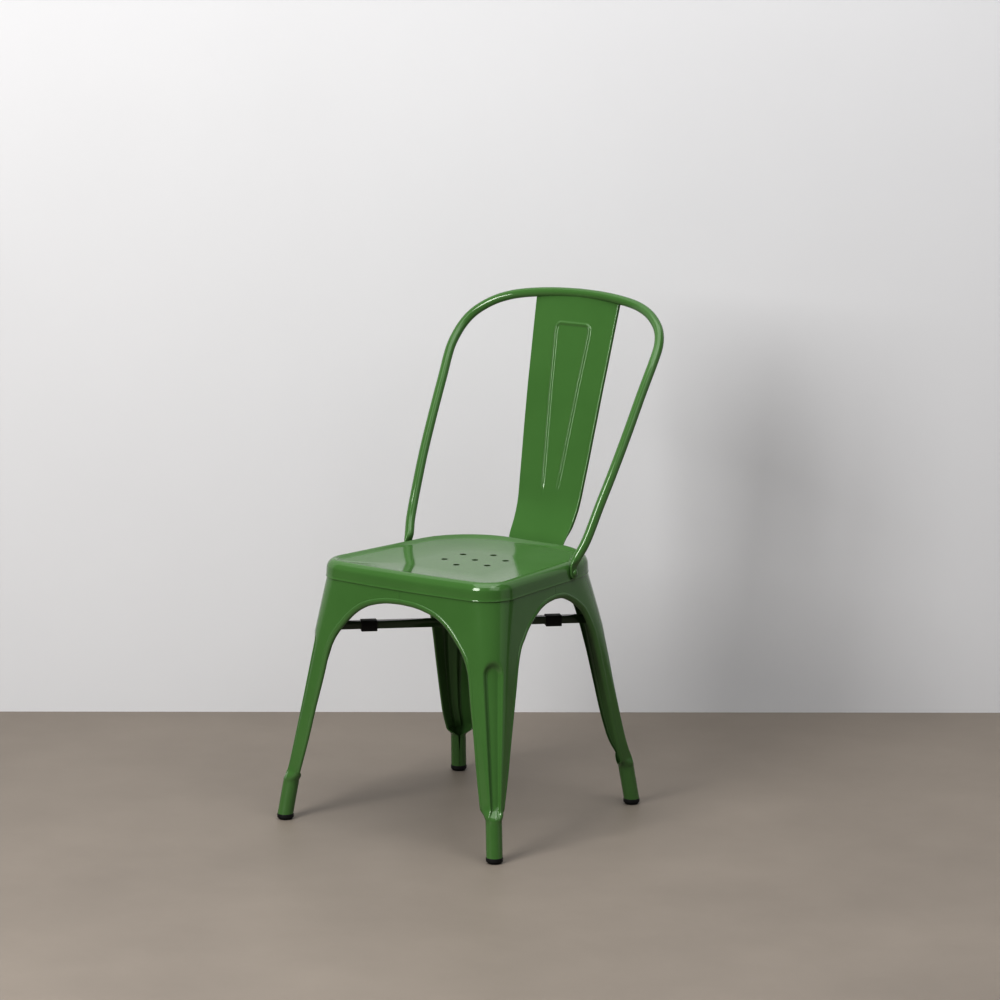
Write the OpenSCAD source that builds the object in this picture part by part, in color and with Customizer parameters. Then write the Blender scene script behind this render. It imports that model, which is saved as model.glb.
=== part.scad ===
// Stacking chair in pressed and painted sheet steel.
// Millimetres, +Z up, front towards -Y, origin under the middle of the footprint.

/* [Seat] */
// Half width of the seat at its front corners
seat_half = 184; // [170:200]
// Loss of half width per mm towards the back
seat_taper = 0.076; // [0.04:0.005:0.12]
// Front edge, distance ahead of the origin at its corners
seat_front = 217; // [205:230]
// Extra bow of the front edge at its middle
front_bow = 5; // [0:8]
// Back edge, distance behind the origin
seat_back = 141; // [130:150]
// Radius of the two front corners
front_radius = 49; // [35:60]
// Radius of the two back corners
back_radius = 118; // [80:130]
// Height of the skirt edge
skirt_z = 403; // [390:415]
// Height of the rim
rim_z = 432; // [420:445]
// Height of the dished floor
dish_z = 422.3; // [412:428]
// Distance from the drain hole ring to its middle
drain_ring = 50.3; // [40:60]
// Middle of the drain holes, along Y
drain_y = -24.2; // [-40:0]
// Drain hole diameter
drain_hole = 10.6; // [6:12]

/* [Legs] */
// Front foot, distance from the centre plane
foot_x_front = 214.6; // [200:225]
// Back foot, distance from the centre plane
foot_x_back = 181.9; // [170:195]
// Front foot, distance ahead of the origin
foot_y_front = 254.9; // [240:265]
// Back foot, distance behind the origin
foot_y_back = 173.9; // [165:185]
// Height where the channel becomes a tube
shoulder_z = 70; // [55:90]
// Outside radius of the rolled tube
tube_r = 13; // [11:15]
// Sheet thickness
sheet = 1.2; // [0.8:0.1:2]
// Height of the arches
arch_z = 380; // [360:390]
// Half width of the front and back arches at mid height
arch_front = 150; // [140:158]
// Half width of the side arches at mid height
arch_side = 127; // [115:135]
// Middle of the side arches, along Y
arch_mid = -36; // [-50:-25]
// Depth of the corner flute
flute_depth = 8.5; // [5:11]
// Height of the top of the flute
flute_top = 312; // [280:330]

/* [Back] */
// Diameter of the hoop tube
hoop_d = 15.5; // [13:18]
// Wall of the hoop tube
hoop_wall = 1.5; // [1:0.1:2.5]
// Height of the hoop's centre line at its crown
hoop_z = 833.3; // [800:850]
// Width of the splat at the top
splat_top = 169; // [150:180]
// Width of the splat at the seat
splat_low = 112; // [100:125]
// Height of the pressed ribs on the splat
rib_height = 2; // [1:0.1:3]

/* [Brace] */
// Height of the middle of the brace bars
brace_z = 321; // [310:335]
// Height of a brace bar
brace_h = 12; // [9:16]
// Width of a brace bar
brace_w = 15; // [10:20]
// Length of a stacking pad
pad_length = 26; // [18:32]

/* [Fasteners] */
// Bolt shank diameter
bolt_d = 6; // [5:8]
// Height of the bolts
bolt_z = 416; // [414:420]
// Bolt through the hoop end, along Y
hoop_bolt_y = 15.6; // [5:30]
// Half spacing of the splat bolts
splat_bolt_x = 30; // [20:40]

/* [Hidden] */
$fn = 48;
gap = 0.15;
lap_z = 410.5;
foot_z = 9.5;
taper_angle = atan(seat_taper);
side_base = seat_half - seat_taper * seat_front;
side_slope = 0.0982;
front_slope = 0.118;
shoulder_front = [205.8, -246];
shoulder_back = [174.7, 162.8];

function mix(a, b, t) = a + (b - a) * t;
function sat(t) = min(1, max(0, t));
function ease(t) = sat(t) * sat(t) * (3 - 2 * sat(t));
function spline(p, t) =
    let (n = len(p) - 1, i = min(n - 1, floor(t)), f = t - i,
         a = p[max(0, i - 1)], b = p[i], c = p[i + 1], d = p[min(n, i + 2)])
    b + 0.5 * f * (c - a + f * (2 * a - 5 * b + 4 * c - d + f * (3 * (b - c) + d - a)));

// ---- leg section: corner line, corner radius and the two arms ----
function side_x(z, y) = side_base + side_slope * (skirt_z - z) - seat_taper * y;
function end_y(back, z) = back
    ? lookup(z, [[65, 177], [82, 176.5], [96, 171], [118, 164], [170, 153], [221, 144.5],
                 [272, 139.5], [324, 137.5], [350, 138], [403, seat_back],
                 [412, seat_back - 1.1]])
    : -seat_front - front_slope * (skirt_z - z);
function corner_r(back, z) = back
    ? lookup(z, [[70, tube_r], [110, 19], [200, 28], [270, 42], [330, 68], [403, back_radius]])
    : lookup(z, [[70, tube_r], [110, 19], [200, 28], [300, 36], [350, 42], [403, front_radius]]);
// the side arm of a back leg closes in slightly towards the arch
function side_angle(back, z) = taper_angle
    - (back ? lookup(z, [[87, 12], [127, 11], [178, 8.7], [262, 4], [360, 0]]) : 0);
function arc_mid(back, z) = back ? (90 + side_angle(true, z)) / 2 : (taper_angle - 90) / 2;
function arc_span(back, z) = back ? 90 - side_angle(true, z) : 90 + taper_angle;
function arc_centre(back, z) =
    let (r = corner_r(back, z), y = end_y(back, z) + (back ? -r : r))
    [side_x(z, y) - r / cos(taper_angle), y];
function arc_half(back, z) = corner_r(back, z) * arc_span(back, z) * PI / 360;
// point and outward normal; u < 0 on the front or back face, u > 0 on the side face
function section(back, z, u) =
    let (r = corner_r(back, z), o = arc_centre(back, z), h = arc_half(back, z),
         s = (back ? -1 : 1) * sign(u), over = abs(u) - h,
         a = arc_mid(back, z) + s * min(abs(u), h) * 180 / PI / r,
         n = [cos(a), sin(a)],
         run = over > 0 ? over * s * [-n[1], n[0]] : [0, 0],
         p = o + r * n + run,
         bow = (!back && u < 0 && over > 0) ? front_bow * (1 - pow(1 - over / o[0], 2))
             * sat((z - 150) / 250) : 0)
    [p - [0, bow], n];
function u_from_x(back, z, x) = -(arc_half(back, z) + arc_centre(back, z)[0] - x);
function u_from_y(back, z, y) =
    let (o = arc_centre(back, z), k = side_angle(back, z), t = o[1] + corner_r(back, z) * sin(k))
    arc_half(back, z) + abs(y - t) / cos(k);

// ---- arch outline: half width and drop, as fractions, from the apex down ----
front_shape = [[0, 0], [0.19, 0.006], [0.36, 0.025], [0.5, 0.053], [0.64, 0.105], [0.77, 0.178],
               [0.86, 0.24], [0.915, 0.3], [0.95, 0.36], [1, 0.5], [1.07, 0.67], [1.14, 0.86],
               [1.225, 1.06]];
back_shape = [[0, 0], [0.17, 0.006], [0.32, 0.025], [0.44, 0.064], [0.53, 0.117], [0.6, 0.185],
              [0.66, 0.27], [0.715, 0.37], [0.765, 0.48], [0.815, 0.63], [0.86, 0.8], [0.92, 0.97],
              [0.98, 1.06]];
side_front_shape = [[0, 0], [0.19, 0.009], [0.36, 0.032], [0.52, 0.072], [0.66, 0.115], [0.77, 0.165],
                    [0.87, 0.215], [0.96, 0.3], [1.04, 0.41], [1.13, 0.53], [1.255, 0.7], [1.39, 0.89],
                    [1.53, 1.06]];
side_back_shape = [[0, 0], [0.19, 0.007], [0.37, 0.037], [0.52, 0.077], [0.65, 0.124], [0.76, 0.198],
                   [0.85, 0.28], [0.92, 0.375], [0.985, 0.48], [1.06, 0.61], [1.155, 0.77],
                   [1.28, 0.965], [1.38, 1.07]];
arch_drop = 281;
arch_steps = len(front_shape) - 1;
function arch_table(back, end) = end ? (back ? back_shape : front_shape)
                                     : (back ? side_back_shape : side_front_shape);
function arch_at(back, end, t) = let (p = spline(arch_table(back, end), t))
    [p[0] * (end ? arch_front : arch_side), arch_z - p[1] * arch_drop];
function arch_normal(back, end, t) =
    let (d = arch_at(back, end, min(arch_steps, t + 0.05)) - arch_at(back, end, max(0, t - 0.05)))
    t < 0.01 ? [0, 1] : [-d[1], d[0]] / norm(d);
// rolled edge of the arches: distance from the edge, rise, and the way the thickness runs
edge_out = [[0, -6], [0.4, -2.8], [2.2, -0.5], [5.5, 1.1], [8.3, 1], [9.5, 0]];
edge_way = [[1, 0], [0.97, 0.25], [0.65, 0.76], [0.3, 0.95], [0, 1], [0, 1]];
edge_run = [20, 15, 11, 7, 4, 3];
n_edge = len(edge_out);
n_arm = 5;
flute_cols = [1, 0.8, 0.62, 0.45, 0.25];
n_side = n_edge + n_arm + len(flute_cols);
n_cols = 2 * n_side + 1;
function flute_w(z) = lookup(z, [[70, 15], [90, 19], [200, 28], [300, 36]]);
// depth of the flute; its top end is round
function flute_d(z, u) =
    let (w = flute_w(z) / 2, up = max(0, z - flute_top + 1.3 * w), d = 1 - norm([u, up / 1.3]) / w,
         low = ease((z - shoulder_z + 2) / 16))
    flute_depth * low * mix(0.72, 1, sat((z - 80) / 120)) * ease(d / 0.55);

// one vertex of the sheet; j counts columns from the end-face edge to the side-face edge
function row_z(back, t) = arch_at(back, true, t)[1] + (lap_z - arch_z) * pow(1 - t / arch_steps, 1.5);
function edge_narrow(t) = mix(1, 0.6, sat((t - 6) / 6));
function edge_u(back, end, z, w) = end
    ? -u_from_x(back, z, w)
    : u_from_y(back, z, arch_mid + (back ? w : -w));
function leg_uz(back, t, j, e) =
    let (end = j < n_side, c = end ? j : n_cols - 1 - j, sg = end ? -1 : 1, zt = row_z(back, t),
         a = arch_at(back, end, t) + arch_normal(back, end, t) * edge_narrow(t)
             * (c < n_edge ? e : edge_out[n_edge - 1][0]),
         ua = edge_u(back, end, a[1], max(a[0], gap)), fw = flute_w(zt) / 2,
         f = (c - n_edge + 1) / (n_arm + 1), f0 = max(0, (c - n_edge) / n_arm))
    c < n_edge ? [sg * ua, a[1]]
    : c < n_edge + n_arm
        ? (t < 0.01 ? [sg * mix(edge_u(back, end, lap_z, gap), fw, f0), lap_z]
                    : [sg * mix(ua, fw, f), mix(a[1], zt, ease(f * 1.2))])
    : c < n_side ? [sg * fw * flute_cols[c - n_edge - n_arm], zt]
    : [0, zt];
function leg_sheet(back, t, j, inner) =
    let (end = j < n_side, c = end ? j : n_cols - 1 - j,
         on_edge = c < n_edge, way = on_edge ? edge_way[c] : [0, 1],
         narrow = edge_narrow(t),
         e = on_edge ? edge_out[c][0] + (inner ? sheet * way[0] / narrow : 0) : 0,
         rise = on_edge ? edge_out[c][1] * narrow : 0,
         uz = leg_uz(back, t, j, e),
         s = section(back, uz[1], uz[0]), m = arc_mid(back, uz[1]),
         dip = on_edge ? 0 : flute_d(uz[1], uz[0]),
         p = s[0] + s[1] * (rise - (inner ? sheet * way[1] : 0)) - dip * [cos(m), sin(m)])
    [p[0], p[1], uz[1]];
// rolled tube below the shoulder
function leg_tube(back, z, j, inner) =
    let (end = j < n_side, c = end ? j : n_cols - 1 - j, sg = (end ? -1 : 1) * (back ? -1 : 1),
         k = c < n_edge ? edge_run[c] / 20 * 9 + 17
           : c < n_edge + n_arm ? mix(19, 8, (c - n_edge + 1) / (n_arm + 1))
           : c < n_side ? 7.5 * flute_cols[c - n_edge - n_arm] : 0,
         slit = mix(1.2, 8, sat((z - 38) / 28)),
         a = (back ? 45 : -45) + sg * k / 26 * (180 - slit),
         foot = back ? [foot_x_back, foot_y_back] : [foot_x_front, -foot_y_front],
         top = back ? shoulder_back : shoulder_front,
         o = mix(foot, top, z / shoulder_z), r = tube_r - (inner ? sheet : 0))
    [o[0] + r * cos(a), o[1] + r * sin(a), z];
arch_rows = [0, 0.5, 1, 1.5, 2, 2.5, 3, 3.5, 4, 4.5, 5, 5.5, 6, 6.5, 7, 8, 9, 10, 11, 12];
neck_rows = [0.25, 0.5, 0.75];
tube_rows = [shoulder_z - 4, 52, 38, foot_z];
function neck(back, f, j, inner) =
    let (a = leg_sheet(back, arch_steps, j, inner), b = leg_tube(back, shoulder_z - 4, j, inner),
         o = back ? shoulder_back : shoulder_front, d = [b[0] - o[0], b[1] - o[1]],
         g = mix(f, ease(f), 0.5), ear = 2 * sin(180 * f) / norm(d))
    [mix(a[0], b[0], g) + ear * d[0], mix(a[1], b[1], g) + ear * d[1], mix(a[2], shoulder_z - 4, f)];
function leg_row(back, i, inner) = [for (j = [0 : n_cols - 1])
    i < len(arch_rows) ? leg_sheet(back, arch_rows[i], j, inner)
    : i < len(arch_rows) + len(neck_rows) ? neck(back, neck_rows[i - len(arch_rows)], j, inner)
    : leg_tube(back, tube_rows[i - len(arch_rows) - len(neck_rows)], j, inner)];
leg_rows = len(arch_rows) + len(neck_rows) + len(tube_rows);

// closed shell from an outer and an inner grid of the same size
function shell_points(outer, inner) = [for (g = [outer, inner]) for (row = g) for (p = row) p];
function shell_faces(n, m, flip) =
    let (o = n * m,
         q = concat(
        [for (i = [0 : n - 2]) for (j = [0 : m - 2])
            [i * m + j, i * m + j + 1, (i + 1) * m + j + 1, (i + 1) * m + j]],
        [for (i = [0 : n - 2]) for (j = [0 : m - 2])
            [o + i * m + j, o + (i + 1) * m + j, o + (i + 1) * m + j + 1, o + i * m + j + 1]],
        [for (j = [0 : m - 2]) [j, o + j, o + j + 1, j + 1]],
        [for (j = [0 : m - 2], b = [(n - 1) * m]) [b + j, b + j + 1, o + b + j + 1, o + b + j]],
        [for (i = [0 : n - 2]) [i * m, (i + 1) * m, o + (i + 1) * m, o + i * m]],
        [for (i = [0 : n - 2], b = [m - 1])
            [i * m + b, o + i * m + b, o + (i + 1) * m + b, (i + 1) * m + b]]))
    [for (f = q) flip ? [f[0], f[3], f[2], f[1]] : f];
function split(faces) = [for (f = faces) each [[f[0], f[1], f[2]], [f[0], f[2], f[3]]]];

module leg_shape(back) {
    outer = [for (i = [0 : leg_rows - 1]) leg_row(back, i, false)];
    inner = [for (i = [0 : leg_rows - 1]) leg_row(back, i, true)];
    polyhedron(shell_points(outer, inner), split(shell_faces(leg_rows, n_cols, back)), convexity = 8);
}

// ---- seat ----
// half outline at the skirt, front middle to back middle: point and normal
seat_half_line = concat(
    [for (f = [0.002, 0.25, 0.5, 0.75]) section(false, skirt_z,
        mix(u_from_x(false, skirt_z, 0), -arc_half(false, skirt_z), f))],
    [for (i = [0 : 8]) section(false, skirt_z, arc_half(false, skirt_z) * mix(-1, 1, i / 8) + 0.0001)],
    [for (i = [1 : 2]) let (a = section(false, skirt_z, arc_half(false, skirt_z)),
        b = section(true, skirt_z, arc_half(true, skirt_z))) [mix(a[0], b[0], i / 3), a[1]]],
    [for (i = [0 : 11]) section(true, skirt_z, arc_half(true, skirt_z) * mix(1, -1, i / 11) + 0.0001)]);
// the floor falls gently towards its flat middle: scale about the middle of the seat
bowl = 3.7;
floor_scale = [0.85, 0.7, 0.55];
// section of the pan: inset, height, inset and height of the under side
pan_line = [[0, skirt_z, 1.2, 0], [0.9, skirt_z + 15, 1.2, 0.1], [2.2, rim_z - 9, 1.1, 0.4],
            [4.9, rim_z - 4.6, 0.85, 0.85], [8.6, rim_z - 1.5, 0.5, 1.1], [13, rim_z, 0.1, 1.2],
            [16.5, rim_z - 0.7, -0.3, 1.15], [20.5, rim_z - 2.6, -0.45, 1.1],
            [24.5, rim_z - 4.1, -0.3, 1.15], [30, rim_z - 5, -0.1, 1.2], [39, dish_z + bowl, 0, 1.2]];
seat_out = 1.35;
function pan_ring(k, inner) =
    let (p = pan_line[k], inset = p[0] - seat_out + (inner ? p[2] * sheet / 1.2 : 0),
         z = p[1] - (inner ? p[3] * sheet / 1.2 : 0), n = len(seat_half_line))
    concat([for (q = seat_half_line) let (s = q[0] - inset * q[1]) [s[0], s[1], z]],
           [for (i = [n - 1 : -1 : 0])
               let (q = seat_half_line[i], s = q[0] - inset * q[1]) [-s[0], s[1], z]]);
ring_n = 2 * len(seat_half_line);
pan_n = len(pan_line);
floor_n = len(floor_scale);
function floor_ring(k, inner) = let (s = floor_scale[k], m = [0, -38], edge = pan_ring(pan_n - 1, false))
    [for (p = edge) [m[0] + s * (p[0] - m[0]), m[1] + s * (p[1] - m[1]),
                     dish_z + bowl * pow((s - 0.55) / 0.45, 1.8) - (inner ? sheet : 0)]];
module pan_shape() {
    rings = concat([for (k = [floor_n - 1 : -1 : 0]) floor_ring(k, false)],
                   [for (k = [pan_n - 1 : -1 : 0]) pan_ring(k, false)],
                   [for (k = [0 : pan_n - 1]) pan_ring(k, true)],
                   [for (k = [0 : floor_n - 1]) floor_ring(k, true)]);
    rings_n = len(rings);
    faces = concat(
        [[for (j = [ring_n - 1 : -1 : 0]) j]],
        [for (i = [0 : rings_n - 2]) for (j = [0 : ring_n - 1]) let (k = (j + 1) % ring_n)
            each [[i * ring_n + j, i * ring_n + k, (i + 1) * ring_n + k],
                  [i * ring_n + j, (i + 1) * ring_n + k, (i + 1) * ring_n + j]]],
        [[for (j = [0 : ring_n - 1]) (rings_n - 1) * ring_n + j]]);
    polyhedron([for (r = rings) for (p = r) p], faces, convexity = 6);
}
hoop_face_x = side_x(skirt_z, hoop_bolt_y) + seat_out;
module seat_pan() {
    color("green") difference() {
        pan_shape();
        translate([0, drain_y, dish_z - 10]) {
            cylinder(d = drain_hole, h = 20);
            for (i = [0 : 5])
                rotate(30 + 60 * i) translate([drain_ring, 0, 0]) cylinder(d = drain_hole, h = 20);
        }
        for (s = [-1, 1]) {
            translate([s * hoop_face_x, hoop_bolt_y, bolt_z]) rotate([0, s * 90, s * taper_angle])
                cylinder(d = bolt_d + 0.4, h = 16, center = true);
            translate([s * splat_bolt_x, seat_back, bolt_z]) rotate([90, 0, 0])
                cylinder(d = bolt_d + 0.4, h = 16, center = true);
        }
    }
}

// ---- hoop: centre line from the bolted end to the crown ----
hoop_line = [[hoop_face_x + 2.4, hoop_bolt_y, 405.5], [hoop_face_x + 2.4, hoop_bolt_y, 420],
             [hoop_face_x + 2.6, hoop_bolt_y + 0.8, 430], [172, 21.9, 441], [177.7, 31.8, 459],
             [181.5, 42.6, 480], [186, 60.5, 517], [192.6, 88, 570], [198, 120.3, 630],
             [202, 151.5, 688], [204.8, 170, 722], [205.4, 183.5, 743], [202.2, 202.5, 767],
             [193, 217.5, 786], [178, 229.5, 800.5], [155, 241.3, 813.8], [124, 251.5, 823.4],
             [84, 258.8, 829.2], [42, 263, 832.3], [0, 264.5, hoop_z]];
hoop_steps = 40;
hoop_sides = 14;
function hoop_half_at(f) = spline(hoop_line, f * (len(hoop_line) - 1));
function hoop_at(f) = f <= 0.5 ? hoop_half_at(2 * f) : let (p = hoop_half_at(2 - 2 * f)) [-p[0], p[1], p[2]];
function unit(v) = v / norm(v);
function hoop_dir(f) = unit(hoop_at(min(1, f + 0.003)) - hoop_at(max(0, f - 0.003)));
// thickness across the seat side and width along it; flat near both ends
function hoop_flat(f) = let (z = hoop_at(f)[2]) ease((z - 424) / 17);
function hoop_ring(f, shrink) =
    let (p = hoop_at(f), d = hoop_dir(f), g = hoop_flat(f),
         ref = unit(mix([0, 1, 0], [0, 0.9, -0.44], g)),
         across = unit(cross(d, ref)), along = unit(cross(across, d)),
         a = mix(2, hoop_d / 2, g) - shrink * g - (shrink > 0 ? (1 - g) * 1.7 : 0),
         b = mix(9, hoop_d / 2, g) - shrink)
    [for (i = [0 : hoop_sides - 1]) let (t = 360 * (i + 0.5) / hoop_sides)
        p + across * a * cos(t) + along * b * sin(t)];
module hoop_body(shrink, from) {
    fs = [for (i = [0 : hoop_steps]) mix(from, 1 - from, i / hoop_steps)];
    pts = [for (f = fs) each hoop_ring(f, shrink)];
    m = hoop_sides;
    faces = concat([[for (j = [m - 1 : -1 : 0]) j]],
        [for (i = [0 : hoop_steps - 1]) for (j = [0 : m - 1]) let (k = (j + 1) % m)
            each [[i * m + j, i * m + k, (i + 1) * m + k],
                  [i * m + j, (i + 1) * m + k, (i + 1) * m + j]]],
        [[for (j = [0 : m - 1]) hoop_steps * m + j]]);
    polyhedron(pts, faces, convexity = 6);
}
module back_hoop() {
    color("green") difference() {
        hoop_body(0, 0);
        hoop_body(hoop_wall, 0.085);
        for (s = [-1, 1])
            translate([s * hoop_face_x, hoop_bolt_y, bolt_z]) rotate([0, s * 90, s * taper_angle])
                cylinder(d = bolt_d + 0.4, h = 30, center = true);
    }
}

// ---- splat: side profile from the bolted tab to the hoop ----
splat_line = [[seat_back + 1.6, 402], [seat_back + 1.6, 411], [seat_back + 1.7, 420], [145.2, 429],
              [149.9, 438.5], [156.8, 449], [163.6, 460], [170.4, 473], [176.6, 488], [181.3, 505],
              [186, 525], [194.8, 562], [203.3, 600], [212.6, 640], [222.4, 682], [232.3, 721],
              [242.2, 761], [247, 780], [260.9, 835]];
splat_stop = 822.6;
function splat_y(z) = let (n = len(splat_line) - 1,
    tab = [for (i = [0 : n]) [splat_line[i][1], splat_line[i][0]]]) lookup(z, tab);
splat_z = [402, 411, 419, 426, 432, 438, 445, 453, 462, 472, 484, 498, 515, 545, 590, 640, 690, 730,
           752, 764, 770, 774, 778, 782, 786, 792, 806, splat_stop];
function splat_half(z) = (splat_low + (splat_top - splat_low) * pow(sat((z - 430) / 392), 0.8)) / 2;
// the top edge follows the under side of the hoop
function splat_lift(x, z) = (4.8 - 6.3 * pow(x / 84.5, 2)) * sat((z - 780) / (splat_stop - 780));
function rib_x(z) = mix(14.5, 33.5, sat((z - 505) / 260));
function rib_rise(x, z) =
    let (r = 9, top = 783, rx = rib_x(min(z, top - r)),
         d = z < top - r ? abs(abs(x) - rx)
           : abs(x) < rx - r ? abs(z - top)
           : abs(norm([abs(x) - rx + r, z - top + r]) - r))
    rib_height * ease((z - 498) / 40) * ease((5 - d) / 5);
function splat_x(i, z) =
    let (c = i - 9, w = splat_half(z), r = rib_x(min(z, 772)), s = sign(c))
    s * [0, r * 0.35, r * 0.7, r - 2.6, r, r + 2.6, r + 6, w - 5, w - 1, w][abs(c)];
function splat_turn(z) = ease((z - 428) / 30);
function splat_flange(e, z) = (e == 9 ? 5 : e == 8 ? 0.8 : 0) * splat_turn(z);
function splat_point(i, row, inner) =
    let (x = splat_x(i, row), z = row + splat_lift(x, row), e = abs(i - 9), g = splat_turn(z),
         in = inner ? sheet : 0,
         dz = 2, dy = splat_y(z + dz) - splat_y(z - dz), n = unit([0, -2 * dz, dy]),
         side = sign(x) * (e == 9 ? g : e == 8 ? 0.5 * g : 0) * in,
         deep = splat_flange(e, z) + in * (e == 9 ? 1 - g : 1) - rib_rise(x, z))
    [x - side, splat_y(z), z] - n * deep;
module back_splat() {
    outer = [for (z = splat_z) [for (i = [0 : 18]) splat_point(i, z, false)]];
    inner = [for (z = splat_z) [for (i = [0 : 18]) splat_point(i, z, true)]];
    color("green") difference() {
        polyhedron(shell_points(outer, inner), split(shell_faces(len(splat_z), 19, false)),
                   convexity = 8);
        for (s = [-1, 1])
            translate([s * splat_bolt_x, seat_back, bolt_z]) rotate([90, 0, 0])
                cylinder(d = bolt_d + 0.4, h = 16, center = true);
    }
}

// ---- braces: two bars crossing under the seat, half lapped where they meet ----
function inner_corner(back) = let (z = brace_z + brace_h / 2, s = section(back, z, 0))
    s[0] - s[1] * (sheet + 1);
brace_front = inner_corner(false);
brace_back = inner_corner(true);
brace_run = brace_back - [-brace_front[0], brace_front[1]];
brace_len = norm(brace_run);
brace_angle = atan2(brace_run[1], brace_run[0]);
cross_at = brace_len * brace_front[0] / brace_run[0];
module brace_bar(upper) {
    translate([-brace_front[0], brace_front[1], brace_z]) rotate(brace_angle) difference() {
        translate([0, -brace_w / 2, -brace_h / 2]) cube([brace_len, brace_w, brace_h]);
        translate([-1, -brace_w / 2 + 1.5, -brace_h / 2 - 1])
            cube([brace_len + 2, brace_w - 3, brace_h - 0.5]);
        translate([cross_at - brace_w * 0.75, -brace_w, upper ? -brace_h : 0.1])
            cube([brace_w * 1.5, 2 * brace_w, brace_h]);
    }
}
module lap_plate(upper) {
    translate([-brace_front[0], brace_front[1], brace_z]) rotate(brace_angle)
        translate([cross_at - brace_w * 0.8, -brace_w / 2 + 1.5, upper ? 0.2 : -1.6])
            cube([brace_w * 1.6, brace_w - 3, 1.4]);
}
module cross_brace_a() {
    color("green") union() {
        brace_bar(true);
        lap_plate(true);
    }
}
module cross_brace_b() {
    color("green") mirror([1, 0, 0]) union() {
        brace_bar(false);
        lap_plate(false);
    }
}
// clip-on pad around a bar, at a distance from the centre plane
module pad_shape(x) {
    along = (brace_front[0] + x) / brace_run[0] * brace_len;
    translate([-brace_front[0], brace_front[1], brace_z]) rotate(brace_angle)
        translate([along - pad_length / 2, 0, 0]) difference() {
            translate([0, -brace_w / 2 - 2.2, -brace_h / 2 - 4])
                cube([pad_length, brace_w + 4.4, brace_h + 5.4]);
            translate([-1, -brace_w / 2 - 0.05, -brace_h / 2 - 0.05])
                cube([pad_length + 2, brace_w + 0.1, brace_h + 0.1]);
        }
}
module pad_front_right() { color("black") pad_shape(-119); }
module pad_rear_left() { color("black") pad_shape(94.5); }
module pad_front_left() { color("black") mirror([1, 0, 0]) pad_shape(-119); }
module pad_rear_right() { color("black") mirror([1, 0, 0]) pad_shape(94.5); }

// ---- feet ----
module foot_shape(back) {
    foot = back ? [foot_x_back, foot_y_back] : [foot_x_front, -foot_y_front];
    top = back ? shoulder_back : shoulder_front;
    at = mix(foot, top, foot_z / shoulder_z);
    translate([at[0], at[1], 0]) union() {
        cylinder(r1 = 10.4, r2 = 11.6, h = 1.5);
        translate([0, 0, 1.5]) cylinder(r = 11.6, h = 2);
        translate([0, 0, 3]) cylinder(r = tube_r + 0.5, h = foot_z - 3.1);
        cylinder(r = 10.4, h = foot_z + 7);
    }
}
module foot_front_left() { color("black") foot_shape(false); }
module foot_front_right() { color("black") mirror([1, 0, 0]) foot_shape(false); }
module foot_rear_left() { color("black") foot_shape(true); }
module foot_rear_right() { color("black") mirror([1, 0, 0]) foot_shape(true); }

// ---- fasteners, drawn along +Z with the head's seat at z = 0 ----
module bolt(grip) {
    difference() {
        translate([0, 0, -3.4]) sphere(r = 6.6);
        translate([0, 0, -12]) cylinder(r = 10, h = 12);
    }
    translate([0, 0, -grip]) cylinder(d = bolt_d, h = grip + 0.5);
}
module nut() {
    difference() {
        cylinder(d = 11.5, h = 5, $fn = 6);
        translate([0, 0, -1]) cylinder(d = bolt_d + 0.1, h = 7);
    }
}
module washer() {
    difference() {
        cylinder(d = 12.5, h = 1.1);
        translate([0, 0, -1]) cylinder(d = bolt_d + 0.3, h = 4);
    }
}
module at_hoop(side, depth) {
    translate([side * hoop_face_x, hoop_bolt_y, bolt_z]) rotate([0, side * 90, side * taper_angle])
        translate([0, 0, depth]) children();
}
module at_splat(side, depth) {
    translate([side * splat_bolt_x, seat_back + seat_out, bolt_z]) rotate([-90, 0, 0])
        translate([0, 0, depth]) children();
}
module hoop_bolt_left() { color("green") at_hoop(1, 4.5) bolt(14); }
module hoop_bolt_right() { color("green") at_hoop(-1, 4.5) bolt(14); }
module splat_bolt_left() { color("green") at_splat(1, 1.6) bolt(11.2); }
module splat_bolt_right() { color("green") at_splat(-1, 1.6) bolt(11.2); }
module fixing_nuts() {
    color("silver") for (s = [-1, 1]) {
        at_hoop(s, -8.4) nut();
        at_splat(s, -8.4) nut();
    }
}
module fixing_washers() {
    color("silver") for (s = [-1, 1]) {
        at_hoop(s, -3.3) washer();
        at_splat(s, -3.3) washer();
    }
}

module front_left_leg() { color("green") leg_shape(false); }
module front_right_leg() { color("green") mirror([1, 0, 0]) leg_shape(false); }
module rear_left_leg() { color("green") leg_shape(true); }
module rear_right_leg() { color("green") mirror([1, 0, 0]) leg_shape(true); }

seat_pan();
front_left_leg();
front_right_leg();
rear_left_leg();
rear_right_leg();
cross_brace_a();
cross_brace_b();
pad_front_left();
pad_front_right();
pad_rear_left();
pad_rear_right();
back_hoop();
back_splat();
foot_front_left();
foot_front_right();
foot_rear_left();
foot_rear_right();
hoop_bolt_left();
hoop_bolt_right();
splat_bolt_left();
splat_bolt_right();
fixing_nuts();
fixing_washers();
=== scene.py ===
import math

import bmesh
import bpy
import numpy as np
from mathutils import Matrix, Vector


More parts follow.
